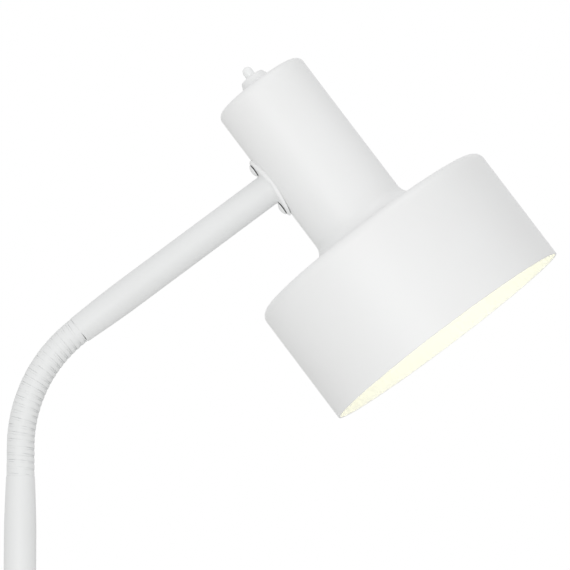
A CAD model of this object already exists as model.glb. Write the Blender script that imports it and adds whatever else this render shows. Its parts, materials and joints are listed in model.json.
import json
import math

import bmesh
import bpy
from mathutils import Matrix, Vector, noise
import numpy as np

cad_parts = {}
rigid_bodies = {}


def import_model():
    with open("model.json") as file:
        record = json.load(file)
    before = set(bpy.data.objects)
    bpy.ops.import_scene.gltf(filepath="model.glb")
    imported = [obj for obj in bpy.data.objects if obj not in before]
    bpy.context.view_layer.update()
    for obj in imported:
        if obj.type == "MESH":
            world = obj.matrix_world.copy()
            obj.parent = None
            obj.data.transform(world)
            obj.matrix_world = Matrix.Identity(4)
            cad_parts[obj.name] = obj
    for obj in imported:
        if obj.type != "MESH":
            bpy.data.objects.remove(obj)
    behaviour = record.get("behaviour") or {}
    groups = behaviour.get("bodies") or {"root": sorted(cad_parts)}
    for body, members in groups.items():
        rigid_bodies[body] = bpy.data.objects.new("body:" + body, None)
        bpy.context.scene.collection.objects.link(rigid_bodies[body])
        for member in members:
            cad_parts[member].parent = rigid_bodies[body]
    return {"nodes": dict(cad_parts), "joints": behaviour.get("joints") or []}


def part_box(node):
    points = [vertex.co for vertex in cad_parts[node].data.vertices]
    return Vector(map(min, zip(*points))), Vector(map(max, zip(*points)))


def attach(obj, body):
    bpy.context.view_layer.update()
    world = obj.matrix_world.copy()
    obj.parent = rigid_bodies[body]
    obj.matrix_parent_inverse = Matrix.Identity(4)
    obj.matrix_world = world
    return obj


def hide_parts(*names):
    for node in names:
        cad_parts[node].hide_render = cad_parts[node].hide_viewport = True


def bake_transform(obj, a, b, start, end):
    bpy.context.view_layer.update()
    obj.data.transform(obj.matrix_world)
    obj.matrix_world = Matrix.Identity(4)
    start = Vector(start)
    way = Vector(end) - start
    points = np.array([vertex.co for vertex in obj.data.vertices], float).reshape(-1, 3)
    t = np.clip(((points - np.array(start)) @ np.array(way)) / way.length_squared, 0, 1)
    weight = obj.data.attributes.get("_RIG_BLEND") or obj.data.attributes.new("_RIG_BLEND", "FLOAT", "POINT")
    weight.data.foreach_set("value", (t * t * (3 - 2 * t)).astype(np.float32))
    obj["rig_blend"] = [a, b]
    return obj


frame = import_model()
nodes = frame["nodes"]
joints = {joint["name"]: joint for joint in frame["joints"]}
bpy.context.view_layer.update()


# Pad under the base
# A disc stamped out of black sheet rubber and glued under the weight. It grips the floor and keeps the
# casting off it. Rubber is matt and nearly black, with a fine grain from the press.
mm = 0.001


def linear(hex_colour):
    """Linear RGBA of an sRGB hex colour."""
    parts = [int(hex_colour[k:k + 2], 16) / 255 for k in (1, 3, 5)]
    return [c / 12.92 if c < 0.04045 else ((c + 0.055) / 1.055) ** 2.4 for c in parts] + [1.0]


def add_node(tree, kind, inputs, **settings):
    """Adds a node, with its settings, its input values and its links from other nodes' outputs."""
    node = tree.nodes.new(kind)
    for name, value in settings.items():
        setattr(node, name, value)
    for name, value in inputs.items():
        if isinstance(value, bpy.types.NodeSocket):
            tree.links.new(value, node.inputs[name])
        else:
            node.inputs[name].default_value = value
    return node


def new_material(name, roughness, metallic=0.0):
    """A new material: itself, its tree, its shader and the Object coordinates that its patterns read."""
    material = bpy.data.materials.new(name)
    material.use_nodes = True
    tree = material.node_tree
    shader = tree.nodes["Principled BSDF"]
    shader.inputs["Roughness"].default_value = roughness
    shader.inputs["Metallic"].default_value = metallic
    place = add_node(tree, "ShaderNodeTexCoord", {}).outputs["Object"]
    return material, tree, shader, place


def finish_nodes(material, *names):
    """Gives CAD nodes their finish."""
    for name in names:
        nodes[name].data.materials.clear()
        nodes[name].data.materials.append(material)


def mottled(name, dark, pale, spot, roughness, metallic=0.0, detail=2.0):
    """A material that drifts between two colours in spots: itself, its tree, its shader and the pattern."""
    material, tree, shader, place = new_material(name, roughness, metallic)
    pattern = add_node(tree, "ShaderNodeTexNoise", {"Vector": place, "Scale": 1 / spot, "Detail": detail})
    tone = add_node(tree, "ShaderNodeMix", {
        "Factor": pattern.outputs["Fac"], "A": linear(dark), "B": linear(pale)}, data_type="RGBA")
    tree.links.new(tone.outputs["Result"], shader.inputs["Base Color"])
    return material, tree, shader, pattern.outputs["Fac"]


rubber_grain = 0.9 * mm
rubber, tree, shader, grain = mottled(
    "sheet_rubber", "#1b1c1d", "#2a2b2c", rubber_grain, roughness=0.85, detail=3.0)
bump = add_node(tree, "ShaderNodeBump", {"Height": grain, "Strength": 0.3, "Distance": 0.1 * mm})
tree.links.new(bump.outputs["Normal"], shader.inputs["Normal"])
finish_nodes(rubber, "base_pad")


# Weight
# A raw grey-iron casting that fills the cover. Sand leaves its skin dark, rough and blotched.
sand_grain = 1.4 * mm
iron_blotch = 18 * mm
iron, tree, shader, place = new_material("sand_cast_iron", roughness=0.72, metallic=0.6)
grain = add_node(tree, "ShaderNodeTexNoise", {"Vector": place, "Scale": 1 / sand_grain, "Detail": 4.0})
blotch = add_node(tree, "ShaderNodeTexNoise", {"Vector": place, "Scale": 1 / iron_blotch})
tone = add_node(tree, "ShaderNodeMix", {
    "Factor": blotch.outputs["Fac"], "A": linear("#2b2c2e"), "B": linear("#47484a")}, data_type="RGBA")
tree.links.new(tone.outputs["Result"], shader.inputs["Base Color"])
bump = add_node(tree, "ShaderNodeBump", {
    "Height": grain.outputs["Fac"], "Strength": 0.6, "Distance": 0.3 * mm})
tree.links.new(bump.outputs["Normal"], shader.inputs["Normal"])
finish_nodes(iron, "base_weight")


# Stud, nuts, washer, bracket, plugs and sleeve
# Bright zinc plate on the nuts, the washer and the lampholder's bracket, and plain turned steel for the stud
# and what sits inside the tubes. Zinc shows a faint cloud in its shine, and turned steel fine rings.
zinc_cloud = 4 * mm
zinc = mottled("bright_zinc_plate", "#dcdedf", "#eceded", zinc_cloud, roughness=0.3, metallic=1.0)[0]
finish_nodes(zinc, "base_washer", "base_nut", "holder_bracket", "holder_nut")

# Real turning marks are finer. They are drawn this coarse so that they show.
turning_pitch = 0.5 * mm
# Blender's wave texture repeats after this length at a scale of 1.
wave_length = 2 * math.pi / 20
steel, tree, shader, place = new_material("turned_steel", roughness=0.35, metallic=1.0)
rings = add_node(tree, "ShaderNodeTexWave", {
    "Vector": place, "Scale": wave_length / turning_pitch, "Distortion": 0.4}, bands_direction="Z")
tone = add_node(tree, "ShaderNodeMix", {
    "Factor": rings.outputs["Fac"], "A": linear("#8b8f93"), "B": linear("#a6aaad")}, data_type="RGBA")
tree.links.new(tone.outputs["Result"], shader.inputs["Base Color"])
finish_nodes(steel, "base_stud", "foot_plug", "pole_coupler", "lower_plug", "upper_plug")


# Cover of the base
# Sheet steel spun over a former, with a rolled rim and a low dome, then powder-coated off-white. The coat
# is satin: a broad soft highlight, a faint orange peel, and hardly any change of tone.
round_segments = 8
wall_span = 5 * mm
seam_merge = 0.002 * mm
sharp_angle = math.radians(40)


def turned(outline, steps):
    """A piece turned about Z from its outline of (radius, height, rounding) corners, rounded first."""
    shape = bmesh.new()
    corners = [shape.verts.new((radius, 0, height)) for radius, height, rounding in outline]
    for first, second in zip(corners, corners[1:] + corners[:1]):
        if first.co.x or second.co.x:
            shape.edges.new((first, second))
    for corner, (radius, height, rounding) in zip(corners, outline):
        if rounding:
            bmesh.ops.bevel(shape, geom=[corner], offset=rounding, offset_type="OFFSET",
                            segments=round_segments, profile=0.5, affect="VERTICES", material=-1)
    for edge in shape.edges[:]:
        cuts = int(edge.calc_length() / wall_span)
        if cuts:
            bmesh.ops.subdivide_edges(shape, edges=[edge], cuts=cuts)
    bmesh.ops.spin(shape, geom=shape.verts[:] + shape.edges[:], cent=(0, 0, 0), axis=(0, 0, 1),
                   angle=2 * math.pi, steps=steps, use_merge=True)
    bmesh.ops.remove_doubles(shape, verts=shape.verts[:], dist=seam_merge)
    bmesh.ops.recalc_face_normals(shape, faces=shape.faces[:])
    return shape


def add_piece(name, shape, material, replaced, body=None, place=Matrix.Identity(4)):
    """Makes a shape a piece of the lamp, in its place, with its finish, body and CAD node."""
    bmesh.ops.transform(shape, matrix=place, verts=shape.verts[:])
    mesh = bpy.data.meshes.new(name)
    shape.to_mesh(mesh)
    shape.free()
    mesh.shade_smooth()
    mesh.set_sharp_from_angle(angle=sharp_angle)
    mesh.materials.append(material)
    piece = bpy.data.objects.new(name, mesh)
    bpy.context.scene.collection.objects.link(piece)
    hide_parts(replaced)
    if body:
        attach(piece, body)
    return piece


def powder_coat(name, dark, pale):
    """Satin powder coat that drifts between two tones: its material, tree and shader, and its tone."""
    peel, drift = 1.8 * mm, 45 * mm
    material, tree, shader, place = new_material(name, roughness=0.45)
    slow = add_node(tree, "ShaderNodeTexNoise", {"Vector": place, "Scale": 1 / drift, "Detail": 2.0})
    tone = add_node(tree, "ShaderNodeMix", {
        "Factor": slow.outputs["Fac"], "A": linear(dark), "B": linear(pale)}, data_type="RGBA")
    tree.links.new(tone.outputs["Result"], shader.inputs["Base Color"])
    gloss = add_node(tree, "ShaderNodeMapRange", {
        "Value": slow.outputs["Fac"], "To Min": 0.42, "To Max": 0.5})
    tree.links.new(gloss.outputs["Result"], shader.inputs["Roughness"])
    skin = add_node(tree, "ShaderNodeTexNoise", {"Vector": place, "Scale": 1 / peel, "Detail": 1.0})
    bump = add_node(tree, "ShaderNodeBump", {
        "Height": skin.outputs["Fac"], "Strength": 0.12, "Distance": 0.05 * mm})
    tree.links.new(bump.outputs["Normal"], shader.inputs["Normal"])
    return material, tree, shader, tone.outputs["Result"]


stand_tones = ("#e5e6e6", "#eaebeb")
stand_paint = powder_coat("satin_powder_coat_stand", *stand_tones)[0]
cover_low, cover_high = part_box("base_cover")
cover_r = cover_high.y
cover_t = 1.2 * mm
cover_lip = 0.5 * mm
rim_h = 18 * mm
rim_round = 4 * mm
seat_r = 24 * mm
stud_hole_r = 5.1 * mm
rim_steps = 8
dome_steps = 16
rim_centre_r = cover_r - rim_round
rim_centre_h = rim_h - rim_round
dome_slope = math.atan(2 * (cover_high.z - rim_h) / (rim_centre_r - seat_r))


def cover_side(inset):
    """Outline of the cover's outer or inner skin, from its lower edge over the dome to the stud's hole."""
    round_r = rim_round - inset
    top = cover_high.z - inset
    corners = [(cover_r - inset, cover_low.z, cover_lip)]
    for k in range(rim_steps + 1):
        angle = (math.pi / 2 - dome_slope) * k / rim_steps
        radius = rim_centre_r + round_r * math.cos(angle)
        corners.append((radius, rim_centre_h + round_r * math.sin(angle), 0))
    edge_r, edge_h, rounding = corners[-1]
    for k in range(1, dome_steps + 1):
        share = 1 - k / dome_steps
        corners.append((seat_r + (edge_r - seat_r) * share, top - (top - edge_h) * share * share, 0))
    return corners + [(stud_hole_r, top, 0)]


cover = turned(cover_side(0) + cover_side(cover_t)[::-1], steps=160)
add_piece("spun_base_cover", cover, stand_paint, "base_cover", "stand")


# Cord gland
# A bush moulded in white polypropylene, pressed into the rear of the cover's rim where the flex goes in. Its
# skin is even and a little dull.
gland_low, gland_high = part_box("cord_gland")
gland_flange_r = gland_high.y
gland_r = 4.5 * mm
gland_bore_r = 3.25 * mm
gland_flange_t = 1.5 * mm
gland_length = gland_high.x - gland_low.x
gland_bore_edge = 0.5 * mm
gland_flange_edge = 0.6 * mm
gland_end_edge = 0.4 * mm
# The real grain of a mould is finer. It is drawn this coarse so that it shows.
mould_grain = 0.7 * mm
moulded = mottled("moulded_polypropylene", "#e4e5e2", "#eaebe8", mould_grain, roughness=0.5)[0]
gland = turned([
    (gland_bore_r, 0, gland_bore_edge), (gland_flange_r, 0, gland_flange_edge),
    (gland_flange_r, gland_flange_t, 0), (gland_r, gland_flange_t, 0),
    (gland_r, gland_length, gland_end_edge), (gland_bore_r, gland_length, gland_end_edge)], steps=48)
gland_place = (Matrix.Translation((gland_low.x, 0, (gland_low.z + gland_high.z) / 2))
               @ Matrix.Rotation(math.radians(90), 4, "Y"))
add_piece("moulded_cord_gland", gland, moulded, "cord_gland", "stand", gland_place)


# Pole
# Two lengths of welded steel tube, butted on a sleeve. The upper one's end is drawn in, or swaged, down to
# the neck's width, and its mouth rounded. Both are coated like the base.
tube_t = 1.2 * mm
cut_edge = 0.25 * mm
swage_length = 34 * mm
swage_tip_r = 8.4 * mm
swage_steps = 12
swage_curve = 1.5
mouth_round = 0.3 * mm


def tube_outline(tube_r, low, high, swaged, weld=0.0):
    """Outline of a tube from low to high, with its upper end swaged and a weld round its lower end or not."""
    if weld:
        outside = [(tube_r + weld, low, 0), (tube_r, low + 2 * weld, weld)]
    else:
        outside = [(tube_r, low, cut_edge)]
    if swaged:
        for k in range(swage_steps + 1):
            share = 1 - k / swage_steps
            radius = swage_tip_r + (tube_r - swage_tip_r) * (1 - (1 - share) ** swage_curve)
            outside.append((radius, high - swage_length * share, 0))
        outside[-1] = (swage_tip_r, high, mouth_round)
    else:
        outside.append((tube_r, high, cut_edge))
    return outside + [(radius - tube_t, height, 0) for radius, height, rounding in outside[::-1]]


for name, node, swaged in (("lower_pole_tube", "pole_lower", False), ("upper_pole_tube", "pole_upper", True)):
    tube_low, tube_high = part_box(node)
    tube_r = tube_high.y
    tube = turned(tube_outline(tube_r, tube_low.z, tube_high.z, swaged), steps=64)
    add_piece(name, tube, stand_paint, node, "stand")
pole_top = tube_high.z


# Neck
# A gooseneck: a round steel wire and a narrow wedge wire wound side by side into a hose, so that it bends
# anywhere and stays. It is coated after winding. The coat fills the two seams of each turn here and there,
# so they show as thin grey lines that come and go. Inside the bend the wedge sinks between the round turns.
neck_hinges = [joint for joint in frame["joints"] if joint["type"] == "hinge"]
neck_pivots = [Vector(joint["pos_m"]) for joint in neck_hinges]
head_axis = Vector(joints["button_press"]["axis"])
bend = math.atan2(-head_axis.z, head_axis.x)
link_length = (neck_pivots[1] - neck_pivots[0]).length
bend_r = link_length / 2 / math.tan(bend / len(neck_hinges) / 2)
straight = neck_pivots[0].z - link_length / 2 - pole_top
neck_length = straight + bend_r * bend
# The arm's mouth laps this far over the neck.
arm_lap = 1.0 * mm
neck_end = neck_length - arm_lap
neck_r = 8.2 * mm
winding = 4 * mm
wire_w = 2.7 * mm
wire_crown = 0.12 * mm
crown_round = 1.0 * mm
wedge_drop = 0.1 * mm
wedge_sink = 0.2 * mm
sunk_from = 0.45
sunk_tone = 0.26
seam_w = 0.4 * mm
seam_depth = 0.4 * mm
seam_round = 0.12 * mm
second_seam = 0.25
coat_patch = 4 * mm
least_seam = 0.08
mean_seam = 0.2
stretched_seam = 0.55
seam_segments = 3
turn_steps = 60
turns_spare = 2
turns = math.ceil(neck_length / winding) + 2 * turns_spare
turn_merge = 0.01 * mm
cut_merge = 0.001 * mm


def eased(value, low, high):
    """0 up to low, 1 from high on, and a smooth rise between them."""
    share = min(1.0, max(0.0, (value - low) / (high - low)))
    return share * share * (3 - 2 * share)


def along_neck(run):
    """Point on the neck's centre line at a distance from the pole, its outward and its forward directions."""
    angle = max(0.0, run - straight) / bend_r
    forward = Vector((math.sin(angle), 0, math.cos(angle)))
    outward = Vector((math.cos(angle), 0, -math.sin(angle)))
    centre = Vector((bend_r * (1 - math.cos(angle)), 0, min(run, straight) + bend_r * math.sin(angle)))
    return centre + Vector((0, 0, pole_top)), outward, forward


neck = bmesh.new()
seam = neck.verts.layers.float.new("seam")
sunk = neck.verts.layers.float.new("sunk")
half_seam = seam_w / 2
# Corners of one turn: drop under the crown, height, rounding, share of a seam and share of the sinking.
section = [
    (seam_depth, 0, 0, 1.0, 0.5), (wire_crown, half_seam, seam_round, 0, 0),
    (0, wire_w / 2, crown_round, 0, 0), (wire_crown, wire_w - half_seam, seam_round, 0, 0),
    (seam_depth, wire_w, 0, second_seam, 0.5), (wedge_drop, wire_w + half_seam, seam_round, 0, 1.0),
    (wedge_drop, winding - half_seam, seam_round, 0, 1.0), (seam_depth, winding, 0, 1.0, 0.5)]
corners = [neck.verts.new((neck_r - drop, 0, height)) for drop, height, rounding, line, sinks in section]
for first, second in zip(corners, corners[1:]):
    neck.edges.new((first, second))
for corner, (drop, height, rounding, line, sinks) in zip(corners, section):
    corner[seam] = line
    corner[sunk] = sinks
    if rounding:
        bmesh.ops.bevel(neck, geom=[corner], offset=rounding, offset_type="OFFSET",
                        segments=seam_segments, profile=0.5, affect="VERTICES", material=-1)
bmesh.ops.spin(neck, geom=neck.verts[:] + neck.edges[:], cent=(0, 0, 0), axis=(0, 0, 1),
               dvec=(0, 0, -winding / turn_steps), angle=2 * math.pi, steps=turn_steps)
one_turn = neck.verts[:] + neck.edges[:] + neck.faces[:]
for k in range(1, turns):
    copied = bmesh.ops.duplicate(neck, geom=one_turn)["geom"]
    bmesh.ops.translate(neck, verts=[item for item in copied if isinstance(item, bmesh.types.BMVert)],
                        vec=(0, 0, winding * k))
bmesh.ops.remove_doubles(neck, verts=neck.verts[:], dist=turn_merge)
bmesh.ops.translate(neck, verts=neck.verts[:], vec=(0, 0, -turns_spare * winding))
for vert in neck.verts:
    side = vert.co.x / vert.co.xy.length
    bent = eased(vert.co.z, 0, straight)
    inside = eased(vert.co.z, 0, winding) * eased(side, sunk_from, 1.0)
    open_share = mean_seam + stretched_seam * bent * abs(side) + noise.noise(vert.co / coat_patch)
    open_share = min(1.0, max(least_seam, open_share))
    depth = neck_r - vert.co.xy.length
    vert.co.xy *= (neck_r - depth * open_share - wedge_sink * vert[sunk] * inside) / (neck_r - depth)
    vert[seam] = vert[seam] * open_share + sunk_tone * vert[sunk] * inside
neck.verts.layers.float.remove(sunk)
for vert in neck.verts:
    centre, outward, forward = along_neck(vert.co.z)
    vert.co = centre + outward * vert.co.x + Vector((0, vert.co.y, 0))

neck_paint, tree, shader, tone = powder_coat("powder_coat_over_seams", *stand_tones)
depth = add_node(tree, "ShaderNodeAttribute", {}, attribute_name="seam")
lined = add_node(tree, "ShaderNodeMix", {
    "Factor": depth.outputs["Fac"], "A": tone, "B": linear("#b2b5b5")}, data_type="RGBA")
tree.links.new(lined.outputs["Result"], shader.inputs["Base Color"])

neck_cuts = [straight + bend_r * bend * k / len(neck_hinges) for k in range(len(neck_hinges))] + [neck_end]
neck_nodes = ["neck_base"] + [f"neck_link_{k:02d}" for k in range(1, len(neck_hinges))] + ["neck_tip"]
# Both ways round, a blend gives the same shape.
blended_back = "neck_link_07"
for k, node in enumerate(neck_nodes):
    cell = neck.copy()
    low, outward, low_forward = along_neck(neck_cuts[k - 1] if k else 0.0)
    high, outward, high_forward = along_neck(neck_cuts[k])
    for at, away in ((low, -low_forward), (high, high_forward)):
        bmesh.ops.bisect_plane(cell, geom=cell.verts[:] + cell.edges[:] + cell.faces[:], plane_co=at,
                               plane_no=away, clear_outer=True)
    bmesh.ops.remove_doubles(cell, verts=cell.verts[:], dist=cut_merge)
    bmesh.ops.holes_fill(cell, edges=[edge for edge in cell.edges if edge.is_boundary])
    bmesh.ops.recalc_face_normals(cell, faces=cell.faces[:])
    piece = add_piece(f"wound_neck_{k:02d}", cell, neck_paint, node)
    if k == 0:
        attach(piece, "stand")
    else:
        hinge = neck_hinges[k - 1]
        if node == blended_back:
            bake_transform(piece, hinge["child"], hinge["parent"], start=high, end=low)
        else:
            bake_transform(piece, hinge["parent"], hinge["child"], start=low, end=high)
neck.free()


# Arm
# The same tube as the pole, swaged where it takes the neck. Its other end is coped, and welded onto an oval
# flange that is pressed to the curve of the cup. The tube has the stand's coat, and the flange the paler
# coat of the head.
arm_start, outward, arm_forward = along_neck(neck_length)
arm_place = Matrix.Translation(arm_start) @ Matrix.Rotation(bend, 4, "Y")
arm_length = 138.2 * mm
arm_weld = 0.7 * mm
cope_length = 4 * arm_weld
arm_mouth_gap = 0.55 * mm
gap_from, gap_full = 0.2, 0.9
arm_mouth = arm_length + arm_lap
cup_r = 30 * mm
flange_t = 2 * mm
saddle_r = cup_r + flange_t
arm = turned(tube_outline(tube_r, 0, arm_mouth, True, arm_weld), steps=64)
for vert in arm.verts:
    if vert.co.z > arm_mouth - 2 * mouth_round:
        vert.co.z -= arm_mouth_gap * eased(vert.co.x / swage_tip_r, gap_from, gap_full)
    elif vert.co.z < cope_length:
        vert.co.z -= saddle_r - math.sqrt(saddle_r ** 2 - vert.co.y ** 2)
turned_round = Matrix.Translation((0, 0, arm_length)) @ Matrix.Rotation(math.pi, 4, "X")
add_piece("arm_tube_swaged", arm, stand_paint, "arm_tube", "head", arm_place @ turned_round)

head_paint = powder_coat("satin_powder_coat_head", "#eeeeee", "#f1f2f2")[0]
flange_length = 40 * mm
flange_w = 20.6 * mm
flange_edge = 0.3 * mm
flange_round = 1.6 * mm
front_gap = 0.55 * mm
head_centre = arm_start + arm_forward * (arm_length + saddle_r)
head_place = Matrix.Translation(head_centre) @ Matrix.Rotation(math.pi / 2 + bend, 4, "Y")
flange_r = flange_length / 2
flange = turned([
    (0, 0, 0), (flange_r, 0, flange_edge), (flange_r, flange_t, flange_round), (0, flange_t, 0)], steps=96)
for vert in flange.verts:
    along, across, height = vert.co.x, -vert.co.y * flange_w / flange_length, vert.co.z
    height += front_gap * (max(0.0, along) / flange_r) ** 2 * (1 - height / flange_t)
    vert.co = (math.sqrt((cup_r + height) ** 2 - across ** 2), across, along)
add_piece("arm_flange_plate", flange, head_paint, "arm_flange", "head", head_place)


# Flange screws
# Two dome-head machine screws with a hexagon socket, coated like the head. A black nylon washer under each
# keeps it off the flange's coat, and shows as a dark line.
nylon = mottled("moulded_black_nylon", "#1d1e1f", "#27282a", mould_grain, roughness=0.5)[0]
screw_gap = 28 * mm
screw_r = 2 * mm
screw_length = 9 * mm
screw_head_r = 4 * mm
screw_head_h = 1.7 * mm
head_edge = 0.2 * mm
socket_r = 1.4 * mm
socket_depth = 1.1 * mm
half_flat_angle = math.pi / 6
washer_r = 3.8 * mm
washer_t = 0.5 * mm
washer_edge = 0.1 * mm
fit = 0.1 * mm
dome_rows = 8
dome_h = screw_head_h - head_edge
dome_r = (screw_head_r ** 2 + dome_h ** 2) / (2 * dome_h)


def dome_height(radius):
    """Height of a screw's dome at a distance from its axis."""
    return screw_head_h - dome_r + math.sqrt(dome_r ** 2 - radius ** 2)


def pair_on_flange(shape, height):
    """Both copies of a shape that stands on the flange at a height, one for each screw."""
    pair = bmesh.new()
    for side in (-1, 1):
        mesh = bpy.data.meshes.new("screw_place")
        shape.to_mesh(mesh)
        mesh.transform(Matrix.Translation((saddle_r + height, 0, side * screw_gap / 2))
                       @ Matrix.Rotation(math.pi / 2, 4, "Y"))
        pair.from_mesh(mesh)
        bpy.data.meshes.remove(mesh)
    shape.free()
    return pair


washer = turned([
    (screw_r + fit, 0, 0), (washer_r, 0, washer_edge), (washer_r, washer_t, washer_edge),
    (screw_r + fit, washer_t, 0)], steps=48)
add_piece("nylon_washers", pair_on_flange(washer, 0), nylon, "screw_washers", "head",
          head_place)

dome_radii = [socket_r + (screw_head_r - socket_r) * k / dome_rows for k in range(dome_rows + 1)]
screw = turned(
    [(0, screw_head_h - socket_depth, 0), (socket_r, screw_head_h - socket_depth, 0)]
    + [(radius, dome_height(radius), 0) for radius in dome_radii]
    + [(screw_head_r, 0, 0), (screw_r, 0, 0), (screw_r, -screw_length, 0), (0, -screw_length, 0)], steps=48)
for vert in screw.verts:
    if vert.co.z > 0 and vert.co.xy.length < socket_r + fit:
        angle = math.atan2(vert.co.y, vert.co.x) % (2 * half_flat_angle) - half_flat_angle
        vert.co.xy *= math.cos(half_flat_angle) / math.cos(angle)
add_piece("dome_head_screws", pair_on_flange(screw, washer_t), head_paint, "flange_screws",
          "head", head_place)


# Shade and cup
# One piece of sheet steel spun into a narrow cup and a wide drum. The drum's top slopes a little, flares
# into the cup and has a rounded edge. The front rim is a plain cut edge. It is coated inside and out.
sheet_t = 1.2 * mm
cup_rear = -53 * mm
cup_length = 109 * mm
shade_depth = 76.5 * mm
shell_low, shell_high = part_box("head_shell")
shade_r = (shell_high.y - shell_low.y) / 2
shade_rear = cup_rear + cup_length
shade_front = shade_rear + shade_depth
cup_round = 4.6 * mm
flare = 9 * mm
shade_round = 6 * mm
shade_slope = math.radians(5)
rise = math.tan(shade_slope)
turn = math.tan((math.pi / 2 - shade_slope) / 2)
top_edge = shade_rear + shade_round * (1 - math.cos(shade_slope) + rise * (1 - math.sin(shade_slope)))
top_inside = top_edge + sheet_t / math.cos(shade_slope)
bush_hole_r = 5.1 * mm
lip = 0.3 * mm
shell = turned([
    (bush_hole_r, cup_rear, 0), (cup_r, cup_rear, cup_round),
    (cup_r, top_edge - rise * (shade_r - cup_r), flare * turn), (shade_r, top_edge, shade_round * turn),
    (shade_r, shade_front, lip), (shade_r - sheet_t, shade_front, lip),
    (shade_r - sheet_t, top_inside - rise * sheet_t, (shade_round - sheet_t) * turn),
    (cup_r - sheet_t, top_inside - rise * (shade_r - cup_r + sheet_t), (flare + sheet_t) * turn),
    (cup_r - sheet_t, cup_rear + sheet_t, cup_round - sheet_t), (bush_hole_r, cup_rear + sheet_t, 0)],
    steps=192)
add_piece("spun_head_shell", shell, head_paint, "head_shell", "head", head_place)


# Lampholder
# A screw-cap lampholder moulded in pale thermoset resin, with a brass screw shell and contact, held on a
# threaded brass nipple. Grip ridges run along its skirt. The resin is creamy with faint specks, and the brass
# golden and dull in patches.
holder_rear = -21.4 * mm
holder_mouth = 30.1 * mm
holder_r = 20 * mm
skirt_r = 19 * mm
holder_rear_r = 11 * mm
holder_rear_edge = 1 * mm
holder_taper = 14 * mm
skirt_round = 3 * mm
mouth_rim = 8 * mm
rim_step = 1 * mm
mouth_edge = 0.8 * mm
holder_floor = 0.6 * mm
floor_t = 3 * mm
rear_wall = 7 * mm
chamber_front = holder_floor - floor_t
chamber_rear = holder_rear + rear_wall
chamber_r = 9 * mm
lead_hole_r = 2.2 * mm
nipple_hole_r = 5.1 * mm
cavity_r = 14.5 * mm
ridges = 36
ridge_depth = 0.6 * mm
on_skirt = 0.01 * mm
skirt_rear = holder_rear + holder_taper
skirt_front = holder_mouth - mouth_rim
holder = turned([
    (nipple_hole_r, holder_rear, 0), (holder_rear_r, holder_rear, holder_rear_edge),
    (skirt_r, skirt_rear, skirt_round), (skirt_r, skirt_front, 0), (holder_r, skirt_front + rim_step, 0),
    (holder_r, holder_mouth, mouth_edge), (cavity_r, holder_mouth, mouth_edge), (cavity_r, holder_floor, 0),
    (lead_hole_r, holder_floor, 0), (lead_hole_r, chamber_front, 0), (chamber_r, chamber_front, 0),
    (chamber_r, chamber_rear, 0), (nipple_hole_r, chamber_rear, 0)], steps=4 * ridges)
for vert in holder.verts:
    ridged = skirt_rear + skirt_round < vert.co.z < skirt_front - rim_step
    if ridged and vert.co.xy.length > skirt_r - on_skirt:
        angle = math.atan2(vert.co.y, vert.co.x)
        vert.co.xy *= 1 - ridge_depth / skirt_r * (0.5 - 0.5 * math.cos(ridges * angle))

resin_speck = 1.1 * mm
resin = mottled(
    "moulded_thermoset_resin", "#e7e3d8", "#f0ede4", resin_speck, roughness=0.42, detail=3.0)[0]
add_piece("ridged_lampholder", holder, resin, "lampholder", "head", head_place)

tarnish = 3 * mm
brass = mottled("plain_brass", "#b08a45", "#d2b06a", tarnish, roughness=0.3, metallic=1.0, detail=3.0)[0]
finish_nodes(brass, "holder_nipple", "holder_shell", "holder_contact")


# Bulb
# An opal glass bulb, switched on, with a plain screw cap rolled from aluminium. The glass glows evenly and
# warm, and the cap has a grey and slightly uneven shine.
cap_scratch = 2 * mm
aluminium = mottled("rolled_aluminium", "#b4b6b8", "#cfd1d2", cap_scratch, roughness=0.38, metallic=1.0)[0]
finish_nodes(aluminium, "bulb_cap")

bulb_r = 30 * mm
bulb_gap = 1 * mm
bulb_rear = holder_mouth + bulb_gap
bulb_length = 82 * mm
bulb_neck_r = 12.6 * mm
flank_h = 12 * mm
flank_round = 18 * mm
swell = math.radians(35)
ball_steps = 24
ball_centre = bulb_rear + bulb_length - bulb_r
ball_angles = [-swell + (math.pi / 2 + swell) * k / ball_steps for k in range(ball_steps)]
globe = turned(
    [(0, bulb_rear, 0), (bulb_neck_r, bulb_rear, 0), (bulb_neck_r, bulb_rear + flank_h, flank_round)]
    + [(bulb_r * math.cos(a), ball_centre + bulb_r * math.sin(a), 0) for a in ball_angles]
    + [(0, ball_centre + bulb_r, 0)], steps=96)
glow_drift = 25 * mm
opal = mottled("opal_glass", "#fff3da", "#fff8ea", glow_drift, roughness=0.3)[0]
shader = opal.node_tree.nodes["Principled BSDF"]
shader.inputs["Emission Color"].default_value = linear("#fffed5")
shader.inputs["Emission Strength"].default_value = 2.6
opal.cycles.emission_sampling = "FRONT"
add_piece("opal_bulb", globe, opal, "bulb_globe", "head", head_place)


# Switch
# A push switch through the cup's rear: a black moulded body inside, a coated collar nut outside, and a
# plunger of gloss white plastic. Its two leads, in smooth blue sleeves, run to the lampholder.
finish_nodes(nylon, "switch_body")

sleeve_shade = 6 * mm
sleeve = mottled("wire_sleeving", "#2b5490", "#3563a3", sleeve_shade, roughness=0.45)[0]
finish_nodes(sleeve, "switch_leads")

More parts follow.
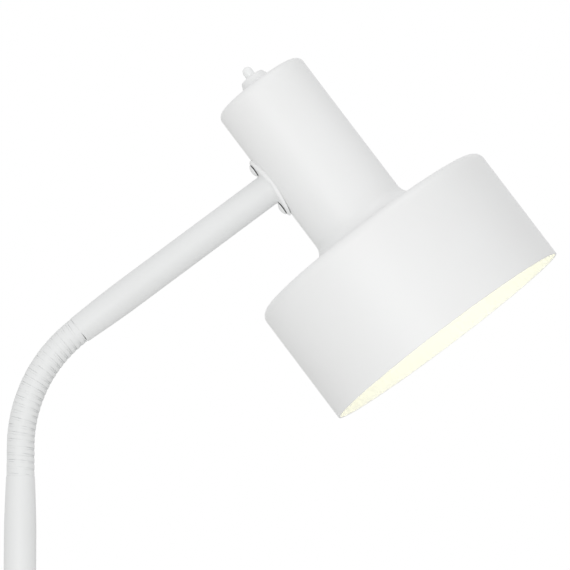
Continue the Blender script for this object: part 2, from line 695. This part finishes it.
collar_r = 7.7 * mm
collar_foot_r = 9.2 * mm
collar_foot_h = 2.4 * mm
collar_h = 6.6 * mm
collar_chamfer = 0.6 * mm
collar_edge = 0.2 * mm
collar_foot_round = 0.5 * mm
collar_lip = 1.5 * mm
plunger_r = 3.1 * mm
plunger_out = 6.8 * mm
plunger_fit = 0.35 * mm
plunger_hole_r = plunger_r + plunger_fit
collar_top = cup_rear - collar_h
collar = turned([
    (bush_hole_r, cup_rear, 0), (collar_foot_r, cup_rear, collar_edge),
    (collar_foot_r, cup_rear - collar_foot_h, collar_foot_round),
    (collar_r, collar_top + collar_chamfer, collar_edge),
    (collar_r - collar_chamfer, collar_top, collar_edge),
    (plunger_hole_r, collar_top, collar_edge), (plunger_hole_r, collar_top + collar_lip, 0),
    (bush_hole_r, collar_top + collar_lip, 0)], steps=64)
add_piece("collar_nut", collar, head_paint, "switch_nut", "head", head_place)

gloss_grain = 1.5 * mm
gloss = mottled("gloss_white_plastic", "#f2f3f3", "#f6f7f7", gloss_grain, roughness=0.22)[0]
plunger_foot = -43.3 * mm
plunger_tip = collar_top - plunger_out
tip_steps = 8
tip_angles = [math.pi / 2 * k / tip_steps for k in range(tip_steps + 1)]
plunger = turned(
    [(plunger_r * math.sin(a), plunger_tip + plunger_r * (1 - math.cos(a)), 0) for a in tip_angles]
    + [(plunger_r, plunger_foot, 0), (0, plunger_foot, 0)], steps=48)
add_piece("switch_plunger", plunger, gloss, "switch_button", "button", head_place)


# Studio
# A pale floor and an even white surround, with soft lights low in front and above.
paper_fibre = 6 * mm
paper = mottled("studio_paper", "#f2f2f1", "#f5f5f4", paper_fibre, roughness=0.9)[0]
floor_size = 20.0
floor_shape = bmesh.new()
bmesh.ops.create_grid(floor_shape, x_segments=1, y_segments=1, size=floor_size)
floor_mesh = bpy.data.meshes.new("studio_floor")
floor_shape.to_mesh(floor_mesh)
floor_shape.free()
floor_mesh.materials.append(paper)
floor = bpy.data.objects.new("studio_floor", floor_mesh)
bpy.context.scene.collection.objects.link(floor)

surround_light = 0.683
world = bpy.data.worlds.new("white_surround")
world.use_nodes = True
tree = world.node_tree
ray = add_node(tree, "ShaderNodeLightPath", {})
seen = add_node(tree, "ShaderNodeMath", {
    0: ray.outputs["Is Camera Ray"], 1: ray.outputs["Is Glossy Ray"]}, operation="MAXIMUM")
seen = add_node(tree, "ShaderNodeMath", {
    0: seen.outputs["Value"], 1: ray.outputs["Is Transmission Ray"]}, operation="MAXIMUM")
strength = add_node(tree, "ShaderNodeMapRange", {"Value": seen.outputs["Value"], "To Min": surround_light})
background = tree.nodes["Background"]
background.inputs["Color"].default_value = (1.0, 1.0, 1.0, 1.0)
tree.links.new(strength.outputs["Result"], background.inputs["Strength"])
bpy.context.scene.world = world

soft_light_size = 0.8
for name, energy, offset in (("low_left_light", 5.1, (-0.35, -1.3, -0.39)),
                             ("low_right_light", 0.75, (0.56, -1.19, -0.49)),
                             ("top_light", 2.6, (0.0, -0.63, 1.25))):
    light_data = bpy.data.lights.new(name, "AREA")
    light_data.shape = "RECTANGLE"
    light_data.size = soft_light_size
    light_data.size_y = soft_light_size
    light_data.energy = energy
    light = bpy.data.objects.new(name, light_data)
    bpy.context.scene.collection.objects.link(light)
    light.location = head_centre + Vector(offset)
    light.rotation_euler = (head_centre - light.location).to_track_quat("-Z", "Y").to_euler()


# Camera
# A long lens a little below the head, level from side to side and looking slightly up.
photo_pixels = 570
focal_pixels = 4794
camera_place = (154.57 * mm, -2795.62 * mm, 914.36 * mm)
camera_tilt = 6.697
camera_data = bpy.data.cameras.new("camera")
camera_data.sensor_width = 36.0
camera_data.lens = camera_data.sensor_width * focal_pixels / photo_pixels
camera_data.clip_end = 100.0
camera = bpy.data.objects.new("camera", camera_data)
bpy.context.scene.collection.objects.link(camera)
camera.location = camera_place
camera.rotation_euler = (math.radians(90 + camera_tilt), 0.0, 0.0)
bpy.context.scene.camera = camera
bpy.context.scene.view_settings.view_transform = "Standard"
